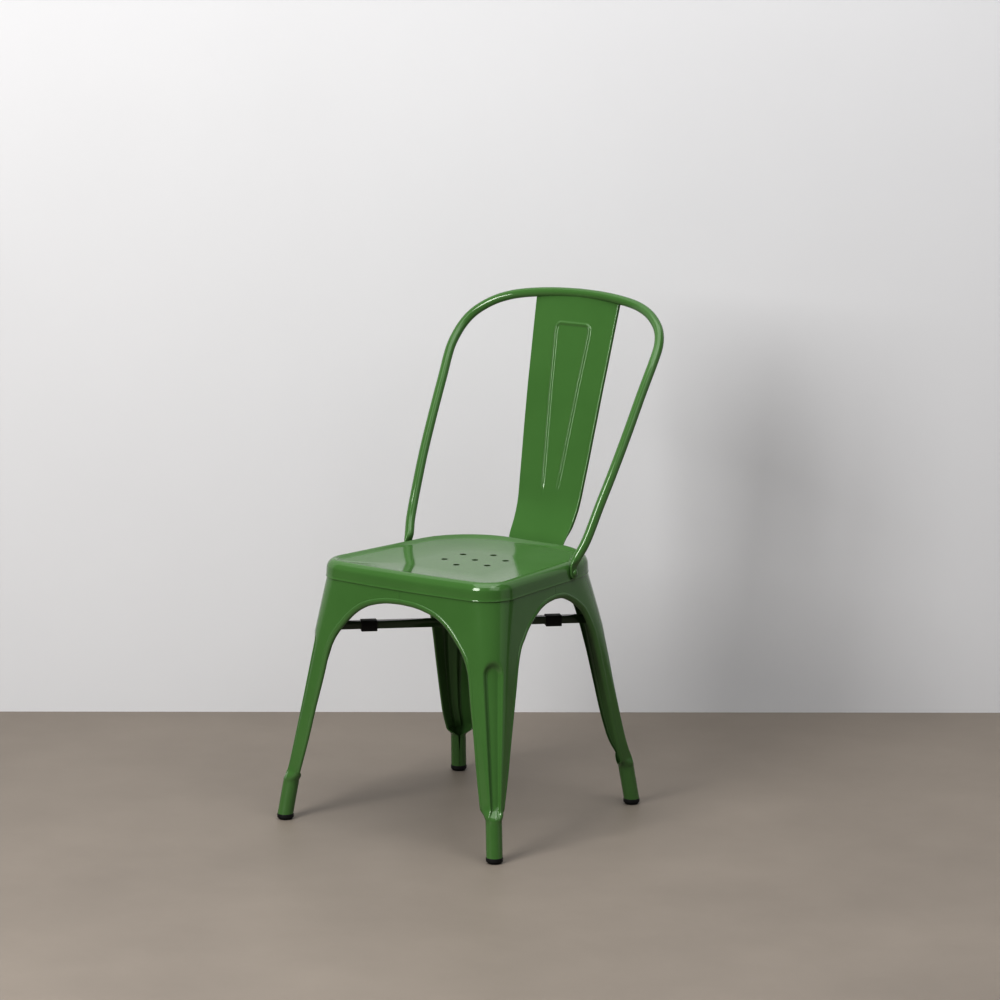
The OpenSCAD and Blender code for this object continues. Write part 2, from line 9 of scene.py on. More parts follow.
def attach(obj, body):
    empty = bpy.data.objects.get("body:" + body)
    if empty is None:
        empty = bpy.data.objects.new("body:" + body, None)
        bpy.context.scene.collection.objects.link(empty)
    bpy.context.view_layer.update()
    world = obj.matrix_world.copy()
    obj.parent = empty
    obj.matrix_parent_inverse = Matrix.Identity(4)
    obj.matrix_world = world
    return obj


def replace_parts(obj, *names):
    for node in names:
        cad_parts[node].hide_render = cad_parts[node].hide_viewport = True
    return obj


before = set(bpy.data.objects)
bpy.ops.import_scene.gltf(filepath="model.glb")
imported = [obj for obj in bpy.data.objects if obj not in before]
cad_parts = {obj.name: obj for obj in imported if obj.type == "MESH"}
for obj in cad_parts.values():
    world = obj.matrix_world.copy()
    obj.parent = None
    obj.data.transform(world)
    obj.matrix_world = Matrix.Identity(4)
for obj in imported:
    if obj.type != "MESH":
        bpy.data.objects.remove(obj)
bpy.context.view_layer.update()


scene = bpy.context.scene
MM = 0.001
WELD = 1e-6

# ------------------------------------------------------------------ camera
AZ, PITCH, ROLL = math.radians(36.54), math.radians(10.29), math.radians(0.338)
view = Vector((-math.sin(AZ) * math.cos(PITCH), math.cos(AZ) * math.cos(PITCH), -math.sin(PITCH)))
right0 = Vector((math.cos(AZ), math.sin(AZ), 0))
up0 = right0.cross(view)
right = right0 * math.cos(ROLL) + up0 * math.sin(ROLL)
up = up0 * math.cos(ROLL) - right0 * math.sin(ROLL)
cam_data = bpy.data.cameras.new("camera")
cam_data.sensor_width = 36
cam_data.lens = 36 * 3.561
cam_data.clip_end = 60
cam = bpy.data.objects.new("camera", cam_data)
scene.collection.objects.link(cam)
turn = Matrix((right, up, -view)).transposed().to_4x4()
cam.matrix_world = Matrix.Translation((3.4285, -4.5832, 1.5576)) @ turn
scene.camera = cam
scene.view_settings.view_transform = "Standard"
scene.view_settings.gamma = 0.8

# --------------------------------------------------------------- sizes, mm
SEAT_HALF, TAPER, SEAT_FRONT, BOW, SEAT_BACK = 184, 0.076, 217, 5, 141
R_FRONT, R_BACK, SKIRT_Z, RIM_Z, DISH_Z = 49, 118, 403, 432, 422.3
DRAIN_RING, DRAIN_Y = 50.3, -24.2
FOOT = {False: (214.6, -254.9), True: (181.9, 173.9)}
SHOULDER = {False: (205.8, -246), True: (174.7, 162.8)}
SHOULDER_Z, TUBE_R, SHEET, FOOT_Z = 70, 13, 1.2, 9.5
ARCH_Z, ARCH_DROP, ARCH_MID, LAP_Z, GAP = 380, 281, -36, 410.5, 0.15
ARCH_END, ARCH_SIDE = 150, 127
FLUTE_DEPTH, FLUTE_TOP = 8.5, 312
HOOP_D, HOOP_Z, BOLT_Z, HOOP_Y, SPLAT_X = 15.5, 833.3, 416, 15.6, 30
SEAT_OUT = 1.35  # from the legs' outer face to the skirt's
BOWL = 3.7  # rise of the dish from its flat middle
DISH_MID = np.array([0, -38])
FLAT_SHARE = 0.55  # size of the flat middle, as a share of the dish
HEM_H, HEM_OUT = 2, 0.45  # hemmed edge of the skirt
HOOP_LOW = 405.5  # lower tips of the hoop
HOOP_FLAT_A, HOOP_FLAT_B = 2, 9  # half sizes of its flattened ends
RIM_BEND, RIM_DEEP = 1.6, 5.2  # folded side edges of the splat
RIB_TOP, RIB_TURN, RIB_RISE, RIB_HALF = 783, 9, 2, 3.8
TURN = math.atan(TAPER)
TURN_D = math.degrees(TURN)
SIDE_BASE = SEAT_HALF - TAPER * SEAT_FRONT


def mix(a, b, t):
    return a + (b - a) * t


def sat(t):
    return min(1.0, max(0.0, t))


def ease(t):
    t = sat(t)
    return t * t * (3 - 2 * t)


def lookup(x, table):
    return float(np.interp(x, [p[0] for p in table], [p[1] for p in table]))


def spline(points, t):
    n = len(points) - 1
    i = int(min(n - 1, math.floor(t)))
    f = t - i
    a, b, c, d = points[max(0, i - 1)], points[i], points[i + 1], points[min(n, i + 2)]
    return b + 0.5 * f * (c - a + f * (2 * a - 5 * b + 4 * c - d + f * (3 * (b - c) + d - a)))


def unit(v):
    return v / np.linalg.norm(v)


def smooth_table(table, x):
    """Lookup with a smooth slope through the points of the table."""
    xs = [p[0] for p in table]
    ys = [p[1] for p in table]
    if x <= xs[0]:
        return ys[0]
    if x >= xs[-1]:
        return ys[-1]
    i = max(j for j in range(len(xs) - 1) if xs[j] <= x)
    h = xs[i + 1] - xs[i]

    def slope(j):
        if j == 0:
            return (ys[1] - ys[0]) / (xs[1] - xs[0])
        if j == len(xs) - 1:
            return (ys[-1] - ys[-2]) / (xs[-1] - xs[-2])
        return (ys[j + 1] - ys[j - 1]) / (xs[j + 1] - xs[j - 1])

    f = (x - xs[i]) / h
    h00, h10 = 2 * f**3 - 3 * f**2 + 1, f**3 - 2 * f**2 + f
    h01, h11 = -2 * f**3 + 3 * f**2, f**3 - f**2
    return h00 * ys[i] + h10 * h * slope(i) + h01 * ys[i + 1] + h11 * h * slope(i + 1)


# --------------------------------------------------- leg and skirt section
BACK_Y = [[65, 177], [82, 176.5], [96, 171], [118, 164], [170, 153], [221, 144.5], [272, 139.5],
          [324, 137.5], [350, 138], [403, SEAT_BACK], [412, SEAT_BACK - 1.1]]
CORNER = {
    True: [[70, TUBE_R], [110, 19], [200, 28], [270, 42], [330, 68], [403, R_BACK]],
    False: [[70, TUBE_R], [110, 19], [200, 28], [300, 36], [350, 42], [403, R_FRONT]],
}


def side_x(z, y):
    return SIDE_BASE + 0.0982 * (SKIRT_Z - z) - TAPER * y


def end_y(back, z):
    return smooth_table(BACK_Y, z) if back else -SEAT_FRONT - 0.118 * (SKIRT_Z - z)


def corner_r(back, z):
    return smooth_table(CORNER[back], z)


def side_angle(back, z):
    toe = lookup(z, [[87, 12], [127, 11], [178, 8.7], [262, 4], [360, 0]]) if back else 0
    return TURN_D - toe


def arc_mid(back, z):
    return (90 + side_angle(True, z)) / 2 if back else (TURN_D - 90) / 2


def arc_span(back, z):
    return 90 - side_angle(True, z) if back else 90 + TURN_D


def arc_centre(back, z):
    r = corner_r(back, z)
    y = end_y(back, z) + (-r if back else r)
    return np.array([side_x(z, y) - r / math.cos(TURN), y])


def arc_half(back, z):
    return corner_r(back, z) * arc_span(back, z) * math.pi / 360


def section(back, z, u):
    """Point and normal of the level outline at height z, u along it from the corner."""
    r, o, h = corner_r(back, z), arc_centre(back, z), arc_half(back, z)
    s = (-1 if back else 1) * (1 if u > 0 else -1 if u < 0 else 0)
    over = abs(u) - h
    a = math.radians(arc_mid(back, z) + s * min(abs(u), h) * 180 / math.pi / r)
    n = np.array([math.cos(a), math.sin(a)])
    p = o + r * n
    if over > 0:
        p = p + over * s * np.array([-n[1], n[0]])
        if not back and u < 0:
            p = p - np.array([0, BOW * (1 - (1 - over / o[0]) ** 2) * sat((z - 150) / 250)])
    return p, n


def u_from_x(back, z, x):
    return -(arc_half(back, z) + arc_centre(back, z)[0] - x)


def u_from_y(back, z, y):
    o = arc_centre(back, z)
    k = math.radians(side_angle(back, z))
    return arc_half(back, z) + abs(y - o[1] - corner_r(back, z) * math.sin(k)) / math.cos(k)


# ------------------------------------------------------------- leg sheets
FRONT_SHAPE = [[0, 0], [0.19, 0.006], [0.36, 0.025], [0.5, 0.053], [0.64, 0.105], [0.77, 0.178],
               [0.86, 0.24], [0.915, 0.3], [0.95, 0.36], [1, 0.5], [1.07, 0.67], [1.14, 0.86],
               [1.225, 1.06]]
BACK_SHAPE = [[0, 0], [0.17, 0.006], [0.32, 0.025], [0.44, 0.064], [0.53, 0.117], [0.6, 0.185],
              [0.66, 0.27], [0.715, 0.37], [0.765, 0.48], [0.815, 0.63], [0.86, 0.8], [0.92, 0.97],
              [0.98, 1.06]]
SIDE_FRONT = [[0, 0], [0.19, 0.009], [0.36, 0.032], [0.52, 0.072], [0.66, 0.115], [0.77, 0.165],
              [0.87, 0.215], [0.96, 0.3], [1.04, 0.41], [1.13, 0.53], [1.255, 0.7], [1.39, 0.89],
              [1.53, 1.06]]
SIDE_BACK = [[0, 0], [0.19, 0.007], [0.37, 0.037], [0.52, 0.077], [0.65, 0.124], [0.76, 0.198],
             [0.85, 0.28], [0.92, 0.375], [0.985, 0.48], [1.06, 0.61], [1.155, 0.77],
             [1.28, 0.965], [1.38, 1.07]]
SHAPES = {(False, True): FRONT_SHAPE, (True, True): BACK_SHAPE,
          (False, False): SIDE_FRONT, (True, False): SIDE_BACK}
SHAPES = {k: [np.array(p, float) for p in v] for k, v in SHAPES.items()}
STEPS = 12
EDGE = [np.array(p, float) for p in
        [[0, -6], [0.4, -2.8], [2.2, -0.5], [5.5, 1.1], [8.3, 1], [9.5, 0]]]
EDGE_WAY = [np.array(p, float) for p in
            [[1, 0], [0.97, 0.25], [0.65, 0.76], [0.3, 0.95], [0, 1], [0, 1]]]


def arch_at(back, end, t):
    p = spline(SHAPES[(back, end)], t)
    return np.array([p[0] * (ARCH_END if end else ARCH_SIDE), ARCH_Z - p[1] * ARCH_DROP])


def arch_normal(back, end, t):
    if t < 0.01:
        return np.array([0.0, 1.0])
    d = arch_at(back, end, min(STEPS, t + 0.05)) - arch_at(back, end, max(0, t - 0.05))
    return np.array([-d[1], d[0]]) / np.linalg.norm(d)


def flute_w(z):
    return lookup(z, [[70, 15], [90, 19], [200, 28], [300, 36]])


def flute_d(z, u):
    w = flute_w(z) / 2
    rise = max(0, z - FLUTE_TOP + 1.3 * w)
    d = 1 - math.hypot(u, rise / 1.3) / w
    low = ease((z - SHOULDER_Z + 2) / 16)
    return FLUTE_DEPTH * low * mix(0.72, 1, sat((z - 80) / 120)) * ease(d / 0.55)


def row_z(back, t):
    return arch_at(back, True, t)[1] + (LAP_Z - ARCH_Z) * (1 - t / STEPS) ** 1.5


def edge_narrow(t):
    return mix(1, 0.6, sat((t - 6) / 6))


def edge_u(back, end, z, w):
    if end:
        return -u_from_x(back, z, w)
    return u_from_y(back, z, ARCH_MID + (w if back else -w))


# columns run from the end-face edge over the flute to the side-face edge
E_COLS = [("edge", k) for k in (0, 0.3, 0.7, 1, 1.35, 1.7, 2, 2.35, 2.7, 3, 3.35, 3.7, 4, 4.3, 4.6, 4.8,
                                4.93, 5)]
A_COLS = [("arm", f) for f in (0.015, 0.05, 0.12, 0.2, 0.3, 0.4, 0.5, 0.6, 0.7, 0.8, 0.9, 0.96)]
F_COLS = [("flute", g) for g in (1, 0.93, 0.86, 0.79, 0.72, 0.65, 0.58, 0.5, 0.42, 0.34, 0.25, 0.16, 0.08)]
HALF_COLS = E_COLS + A_COLS + F_COLS
COLS = [(True,) + c for c in HALF_COLS] + [(True, "flute", 0.0)] + [(False,) + c for c in HALF_COLS[::-1]]


def leg_sheet(back, t, col, inner):
    """Point of the folded sheet in row t, for a column (end face or not, kind, share)."""
    end, kind, k = col
    sg = -1 if end else 1
    zt, narrow = row_z(back, t), edge_narrow(t)
    out = spline(EDGE, k) if kind == "edge" else np.array([0.0, 0.0])
    way = spline(EDGE_WAY, k) if kind == "edge" else np.array([0.0, 1.0])
    e = (out[0] if kind == "edge" else 9.5) + (SHEET * way[0] / narrow if inner and kind == "edge" else 0)
    a = arch_at(back, end, t) + arch_normal(back, end, t) * narrow * e
    ua = edge_u(back, end, a[1], max(a[0], GAP))
    fw = flute_w(zt) / 2
    if kind == "edge":
        u, z = sg * ua, a[1]
    elif kind == "arm":
        if t < 0.01:
            z = mix(a[1], LAP_Z, ease(k * 6))
            u = sg * mix(edge_u(back, end, z, GAP), fw, sat(k * 1.2 - 0.2))
        else:
            u, z = sg * mix(ua, fw, k), mix(a[1], zt, ease(k * 1.2))
    else:
        u, z = sg * fw * k, zt
    p, n = section(back, z, u)
    m = math.radians(arc_mid(back, z))
    rise = out[1] * narrow if kind == "edge" else 0
    dip = 0 if kind == "edge" else flute_d(z, u)
    p = p + n * (rise - (SHEET * way[1] if inner else 0)) - dip * np.array([math.cos(m), math.sin(m)])
    return np.array([p[0], p[1], z])


def leg_tube(back, z, col, inner):
    """Point of the split tube below the shoulder, for the same columns."""
    end, kind, k = col
    sg = (-1 if end else 1) * (-1 if back else 1)
    if kind == "edge":
        part = lookup(k, [[0, 26], [1, 23.75], [2, 21.95], [3, 20.15], [4, 18.8], [5, 18.35]])
    elif kind == "arm":
        part = mix(18.3, 7.6, k)
    else:
        part = 7.5 * k
    slit = mix(1.2, 8, sat((z - 38) / 28))
    a = math.radians((45 if back else -45) + sg * part / 26 * (180 - slit))
    f = z / SHOULDER_Z
    o = [mix(FOOT[back][i], SHOULDER[back][i], f) for i in (0, 1)]
    r = TUBE_R - (SHEET if inner else 0)
    return np.array([o[0] + r * math.cos(a), o[1] + r * math.sin(a), z])


T_ROWS = ([0, 0.06, 0.14] + [0.25 + 0.25 * i for i in range(20)] + [5.4 + 0.2 * i for i in range(28)]
          + [11, 11.25, 11.5, 11.75, 12])
NECK = [0.08, 0.17, 0.25, 0.33, 0.42, 0.5, 0.58, 0.67, 0.75, 0.83, 0.92]
TUBE_ROWS = [SHOULDER_Z - 4, 60, 52, 46, 43, 41, 39, 37, 30, 20, FOOT_Z + 0.6, FOOT_Z]


def leg_grid(back, inner):
    rows = [[leg_sheet(back, t, c, inner) for c in COLS] for t in T_ROWS]
    top = rows[-1]
    low = [leg_tube(back, SHOULDER_Z - 4, c, inner) for c in COLS]
    mid = np.array(SHOULDER[back])
    for f in NECK:
        g, ear = mix(f, ease(f), 0.5), 2 * math.sin(math.pi * f)
        row = []
        for a, b in zip(top, low):
            out = unit(b[:2] - mid) * ear
            row.append(np.array([mix(a[0], b[0], g) + out[0], mix(a[1], b[1], g) + out[1],
                                 mix(a[2], SHOULDER_Z - 4, f)]))
        rows.append(row)
    rows += [[leg_tube(back, z, c, inner) for c in COLS] for z in TUBE_ROWS]
    return np.array(rows)


# ----------------------------------------------------------- mesh helpers
def make_object(name, verts, faces, slot, sharp, mirror=False):
    """A named piece from points in millimetres, smooth except where faces meet sharply."""
    bm = bmesh.new()
    sx = -1 if mirror else 1
    vs = [bm.verts.new((sx * p[0] * MM, p[1] * MM, p[2] * MM)) for p in verts]
    for f in faces:
        try:
            bm.faces.new([vs[i] for i in (f if not mirror else f[::-1])])
        except ValueError:
            pass
    return finish_mesh(name, bm, slot, sharp)


def finish_mesh(name, bm, slot, sharp):
    bmesh.ops.remove_doubles(bm, verts=bm.verts, dist=WELD)
    bmesh.ops.dissolve_degenerate(bm, edges=bm.edges, dist=WELD)
    bmesh.ops.recalc_face_normals(bm, faces=bm.faces)
    for f in bm.faces:
        f.smooth = True
    limit = math.radians(sharp)
    for e in bm.edges:
        e.smooth = not (len(e.link_faces) == 2 and e.calc_face_angle(0) > limit)
    mesh = bpy.data.meshes.new(name)
    bm.to_mesh(mesh)
    bm.free()
    obj = bpy.data.objects.new(name, mesh)
    scene.collection.objects.link(obj)
    obj.data.materials.append(MATERIALS[slot])
    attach(obj, "root")
    return obj


def shell_mesh(outer, inner):
    """Closed shell from two grids of the same size."""
    n, m = outer.shape[:2]
    verts = np.concatenate([outer.reshape(-1, 3), inner.reshape(-1, 3)])
    o = n * m
    faces = []
    for i in range(n - 1):
        for j in range(m - 1):
            a = i * m + j
            faces.append((a, a + 1, a + m + 1, a + m))
            faces.append((o + a, o + a + m, o + a + m + 1, o + a + 1))
    for j in range(m - 1):
        faces.append((j, o + j, o + j + 1, j + 1))
        b = (n - 1) * m + j
        faces.append((b, b + 1, o + b + 1, o + b))
    for i in range(n - 1):
        a, b = i * m, i * m + m - 1
        faces.append((a, a + m, o + a + m, o + a))
        faces.append((b, o + b, o + b + m, b + m))
    return verts, faces


def lathe(profile, turns, place):
    """Points and faces of a profile of (radius, height) turned round Z and put in place."""
    verts, faces = [], []
    k = len(profile)
    for j in range(turns):
        a = 2 * math.pi * j / turns
        for r, z in profile:
            verts.append(place @ Vector((r * math.cos(a), r * math.sin(a), z)))
    for j in range(turns):
        b = (j + 1) % turns
        for i in range(k - 1):
            faces.append((j * k + i, b * k + i, b * k + i + 1, j * k + i + 1))
    return verts, faces


def add_to(lists, verts, faces):
    base = len(lists[0])
    lists[0].extend(verts)
    lists[1].extend([tuple(base + i for i in f) for f in faces])


# -------------------------------------------------------------- materials
def node(tree, kind, at):
    n = tree.nodes.new(kind)
    n.location = at
    return n


def ramp(tree, at, stops):
    n = node(tree, "ShaderNodeValToRGB", at)
    r = n.color_ramp
    while len(r.elements) > 1:
        r.elements.remove(r.elements[-1])
    r.elements[0].position, r.elements[0].color = stops[0][0], stops[0][1] + (1,)
    for pos, colour in stops[1:]:
        r.elements.new(pos).color = colour + (1,)
    return n


def base_material(name):
    mat = bpy.data.materials.new(name)
    mat.use_nodes = True
    tree = mat.node_tree
    bsdf = tree.nodes["Principled BSDF"]
    coord = node(tree, "ShaderNodeTexCoord", (-1200, 0))
    return mat, tree, bsdf, coord


def noise(tree, coord, at, scale, detail, rough=0.5):
    n = node(tree, "ShaderNodeTexNoise", at)
    n.inputs["Scale"].default_value = scale
    n.inputs["Detail"].default_value = detail
    n.inputs["Roughness"].default_value = rough
    tree.links.new(coord.outputs["Object"], n.inputs["Vector"])
    return n


def vary_colour(tree, bsdf, source, low, high):
    """Base colour that runs from low to high with the noise."""
    colour = ramp(tree, (-600, 200), [(0.3, low), (0.7, high)])
    tree.links.new(source.outputs["Fac"], colour.inputs["Fac"])
    tree.links.new(colour.outputs["Color"], bsdf.inputs["Base Color"])


def vary_roughness(tree, bsdf, source, low, high):
    rough = node(tree, "ShaderNodeMapRange", (-600, -50))
    rough.inputs["To Min"].default_value = low
    rough.inputs["To Max"].default_value = high
    tree.links.new(source.outputs["Fac"], rough.inputs["Value"])
    tree.links.new(rough.outputs["Result"], bsdf.inputs["Roughness"])


def bump(tree, bsdf, source, strength, distance):
    b = node(tree, "ShaderNodeBump", (-250, -300))
    b.inputs["Strength"].default_value = strength
    b.inputs["Distance"].default_value = distance
    tree.links.new(source.outputs["Fac"], b.inputs["Height"])
    tree.links.new(b.outputs["Normal"], bsdf.inputs["Normal"])


def green_paint(name, depth):
    """Powder coat with a fine orange peel; depth scales its colour, and a depth below 1 makes a darker copy
    that paints shade.
    """
    mat, tree, bsdf, coord = base_material(name)
    low, high = [tuple(depth * c for c in colour)
                 for colour in ((0.054, 0.134, 0.035), (0.061, 0.147, 0.040))]
    vary_colour(tree, bsdf, noise(tree, coord, (-900, 200), 9, 3), low, high)
    vary_roughness(tree, bsdf, noise(tree, coord, (-900, -50), 35, 3), 0.09, 0.15)
    bump(tree, bsdf, noise(tree, coord, (-900, -300), 260, 2), 0.08, 0.0003)
    bsdf.inputs["Specular IOR Level"].default_value = 0.5
    bsdf.inputs["IOR"].default_value = 1.5
    return mat


def black_material(name, low, high, rough_low, rough_high, scale, strength):
    mat, tree, bsdf, coord = base_material(name)
    big = noise(tree, coord, (-900, 200), 60, 3)
    vary_colour(tree, bsdf, big, (low, low, low), (high, high, high * 0.97))
    vary_roughness(tree, bsdf, big, rough_low, rough_high)
    bump(tree, bsdf, noise(tree, coord, (-900, -300), scale, 4), strength, 0.0004)
    bsdf.inputs["Specular IOR Level"].default_value = 0.25
    return mat


def zinc():
    mat, tree, bsdf, coord = base_material("zinc_plate")
    big = noise(tree, coord, (-900, 200), 220, 3)
    vary_colour(tree, bsdf, big, (0.50, 0.51, 0.52), (0.66, 0.66, 0.64))
    vary_roughness(tree, bsdf, big, 0.28, 0.42)
    bump(tree, bsdf, noise(tree, coord, (-900, -300), 900, 2), 0.15, 0.0002)
    bsdf.inputs["Metallic"].default_value = 1.0
    return mat


MATERIALS = {
    "green_paint": green_paint("green_powder_coat", 1),
    # darker copy of the green paint: painted shade for the brace bars and the drain holes' cut edges
    "painted_shade_green": green_paint("green_powder_coat_painted_shade", 0.3),
    "pad_plastic": black_material("black_pad_plastic", 0.006, 0.010, 0.42, 0.55, 500, 0.2),
    "foot_rubber": black_material("black_foot_rubber", 0.004, 0.008, 0.5, 0.7, 700, 0.25),
    "zinc_steel": zinc(),
}

# ------------------------------------------------------------------- legs
for back, nm in ((False, "front"), (True, "rear")):
    verts, faces = shell_mesh(leg_grid(back, False), leg_grid(back, True))
    for flip, side in ((False, "left"), (True, "right")):
        leg = make_object("leg_sheet_%s_%s" % (nm, side), verts, faces, "green_paint", 40, flip)
        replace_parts(leg, "%s_%s_leg" % (nm, side))

# -------------------------------------------------------------- seat pan
PAN = [np.array(p, float) for p in
       [[0, SKIRT_Z, 1.2, 0], [0.9, SKIRT_Z + 15, 1.2, 0.1], [2.2, RIM_Z - 9, 1.1, 0.4],
        [4.9, RIM_Z - 4.6, 0.85, 0.85], [8.6, RIM_Z - 1.5, 0.5, 1.1], [13, RIM_Z, 0.1, 1.2],
        [16.5, RIM_Z - 0.7, -0.3, 1.15], [20.5, RIM_Z - 2.6, -0.45, 1.1], [24.5, RIM_Z - 4.1, -0.3, 1.15],
        [30, RIM_Z - 5, -0.1, 1.2], [39, DISH_Z + BOWL, 0, 1.2]]]


def seat_outline():
    hf, hb = arc_half(False, SKIRT_Z), arc_half(True, SKIRT_Z)
    line = [section(False, SKIRT_Z, mix(u_from_x(False, SKIRT_Z, 0), -hf, f))
            for f in np.linspace(0.0, 0.96, 18)]
    line += [section(False, SKIRT_Z, hf * k + 1e-4) for k in np.linspace(-1, 1, 29)]
    a, b = section(False, SKIRT_Z, hf), section(True, SKIRT_Z, hb)
    line += [(mix(a[0], b[0], f), a[1]) for f in np.linspace(0, 1, 14)[1:-1]]
    line += [section(True, SKIRT_Z, hb * k + 1e-4) for k in np.linspace(1, -1, 41)]
    last = line[-1]
    line += [(np.array([last[0][0] * (1 - f), last[0][1]]), np.array([0.0, 1.0])) for f in (0.4, 0.8, 1)]
    line[0] = (np.array([0.0, line[0][0][1]]), np.array([0.0, -1.0]))
    pts = [p for p, n in line] + [np.array([-p[0], p[1]]) for p, n in line[-2:0:-1]]
    nrm = [n for p, n in line] + [np.array([-n[0], n[1]]) for p, n in line[-2:0:-1]]
    return np.array(pts), np.array(nrm)


def seat_pan():
    """Pan from the hem of its skirt over the rim to the dish, with drain holes."""
    pts, nrm = seat_outline()
    m = len(pts)
    bm = bmesh.new()
    ks = [0, 0.015, 0.035, 0.06, 0.085, 0.11, 0.135] + [i / 5 for i in range(1, 5 * (len(PAN) - 1) + 1)]
    loops = {}
    for inner in (False, True):
        rings = []
        for k in ks:
            p = spline(PAN, k)
            inset = p[0] - SEAT_OUT + (p[2] if inner else 0)
            z = p[1] - (p[3] if inner else 0)
            if not inner and z < SKIRT_Z + HEM_H:
                inset -= HEM_OUT * math.sin(math.pi * (z - SKIRT_Z) / HEM_H)
            q = pts - nrm * inset
            rings.append([bm.verts.new((x * MM, y * MM, z * MM)) for x, y in q])
        # the floor falls gently to its flat middle
        q = pts - nrm * (PAN[-1][0] - SEAT_OUT)
        for s in list(np.linspace(1, FLAT_SHARE, 28)[1:]) + [FLAT_SHARE - 0.01]:
            climb = max(0, (s - FLAT_SHARE) / (1 - FLAT_SHARE)) ** 1.8
            z = DISH_Z + BOWL * climb - (SHEET if inner else 0)
            rings.append([bm.verts.new((x * MM, y * MM, z * MM)) for x, y in DISH_MID + (q - DISH_MID) * s])
        for a, b in zip(rings, rings[1:]):
            for j in range(m):
                bm.faces.new((a[j], a[(j + 1) % m], b[(j + 1) % m], b[j]))
        loops[inner] = rings
    for j in range(m):
        a, b = loops[False][0], loops[True][0]
        bm.faces.new((a[j], a[(j + 1) % m], b[(j + 1) % m], b[j]))
    # drain holes with a rounded edge
    ring_turns = [math.radians(30 + 60 * i) for i in range(6)]
    spots = [(0.0, DRAIN_Y)] + [(DRAIN_RING * math.cos(a), DRAIN_Y + DRAIN_RING * math.sin(a))
                                for a in ring_turns]
    lip = [(8.4, 0), (6.2, 0), (5.75, -0.03), (5.45, -0.08), (5.3, -0.15), (5.3, -0.22), (5.55, -0.28),
           (7.6, -0.52), (7.8, -0.7), (7.8, -SHEET), (8.4, -SHEET)]
    n_hole = 40
    top_loops, low_loops = [], []
    for hx, hy in spots:
        rings = []
        for r, dz in lip:
            rings.append([bm.verts.new(((hx + r * math.cos(a)) * MM, (hy + r * math.sin(a)) * MM,
                                        (DISH_Z + dz) * MM))
                          for a in np.linspace(0, 2 * math.pi, n_hole, endpoint=False)])
        for a, b in zip(rings, rings[1:]):
            for j in range(n_hole):
                bm.faces.new((a[j], a[(j + 1) % n_hole], b[(j + 1) % n_hole], b[j]))
        top_loops.append(rings[0])
        low_loops.append(rings[-1])
    for border, holes in ((loops[False][-1], top_loops), (loops[True][-1], low_loops)):
        edges = []
        for loop in [border] + holes:
            for j in range(len(loop)):
                a, b = loop[j], loop[(j + 1) % len(loop)]
                edges.append(bm.edges.get((a, b)) or bm.edges.new((a, b)))
        bmesh.ops.triangle_fill(bm, edges=edges, use_beauty=True)
    obj = finish_mesh("seat_dish", bm, "green_paint", 50)
    # the cut edges of the drain holes take the darker copy of the paint: painted shade inside the holes
    obj.data.materials.append(MATERIALS["painted_shade_green"])
    for face in obj.data.polygons:
        x, y, z = face.center / MM
        if -SHEET < z - DISH_Z < -0.05 and min(math.hypot(x - hx, y - hy) for hx, hy in spots) < 7.9:
            face.material_index = 1
    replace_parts(obj, "seat_pan")


seat_pan()

# ------------------------------------------------------------------- hoop
FACE_X = side_x(SKIRT_Z, HOOP_Y) + SEAT_OUT
HOOP = [[FACE_X + 2.4, HOOP_Y, HOOP_LOW], [FACE_X + 2.4, HOOP_Y, 420], [FACE_X + 2.6, HOOP_Y + 0.8, 430],
        [172, 21.9, 441], [177.7, 31.8, 459], [181.5, 42.6, 480], [186, 60.5, 517], [192.6, 88, 570],
        [198, 120.3, 630], [202, 151.5, 688], [204.8, 170, 722], [205.4, 183.5, 743], [202.2, 202.5, 767],
        [193, 217.5, 786], [178, 229.5, 800.5], [155, 241.3, 813.8], [124, 251.5, 823.4], [84, 258.8, 829.2],
        [42, 263, 832.3], [0, 264.5, HOOP_Z]]
HOOP = [np.array(p, float) for p in HOOP]


def hoop_at(f):
    g = 2 * f if f <= 0.5 else 2 - 2 * f
    p = spline(HOOP, g * (len(HOOP) - 1))
    return p if f <= 0.5 else p * np.array([-1, 1, 1])


def back_hoop():
    """Bent tube, flattened and rounded at its two ends."""
    sides = 40
    half = list(np.linspace(0, 0.1, 61)) + list(np.linspace(0.1, 0.5, 151))[1:]
    fs = half + [1 - f for f in half[-2::-1]]
    verts, faces = [], []
    for f in fs:
        p = hoop_at(f)
        d = unit(hoop_at(min(1, f + 0.003)) - hoop_at(max(0, f - 0.003)))
        g = ease((p[2] - 424) / 17)
        ref = unit(mix(np.array([0, 1, 0.0]), np.array([0, 0.9, -0.44]), g))
        across = unit(np.cross(d, ref))
        along = unit(np.cross(across, d))
        a, b = mix(HOOP_FLAT_A, HOOP_D / 2, g), mix(HOOP_FLAT_B, HOOP_D / 2, g)
        low = p[2] - HOOP_LOW
        if low < HOOP_FLAT_B:  # the tip is rounded
            b = HOOP_FLAT_B * math.sqrt(max(0.02, 1 - ((HOOP_FLAT_B - low) / HOOP_FLAT_B) ** 2))
            a = HOOP_FLAT_A * math.sqrt(max(0.15, 1 - max(0, (1.6 - low) / 1.6) ** 2))
        power = mix(0.35, 1, g)
        for i in range(sides):
            t = 2 * math.pi * (i + 0.5) / sides
            c, s = math.cos(t), math.sin(t)
            verts.append(p + across * a * math.copysign(abs(c) ** power, c) + along * b * s)
    n = len(fs)
    for i in range(n - 1):
        for j in range(sides):
            k = (j + 1) % sides
            faces.append((i * sides + j, i * sides + k, (i + 1) * sides + k, (i + 1) * sides + j))
    faces.append(tuple(range(sides)))
    faces.append(tuple((n - 1) * sides + j for j in range(sides)))
    obj = make_object("hoop_tube", verts, faces, "green_paint", 50)
    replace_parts(obj, "back_hoop")


back_hoop()

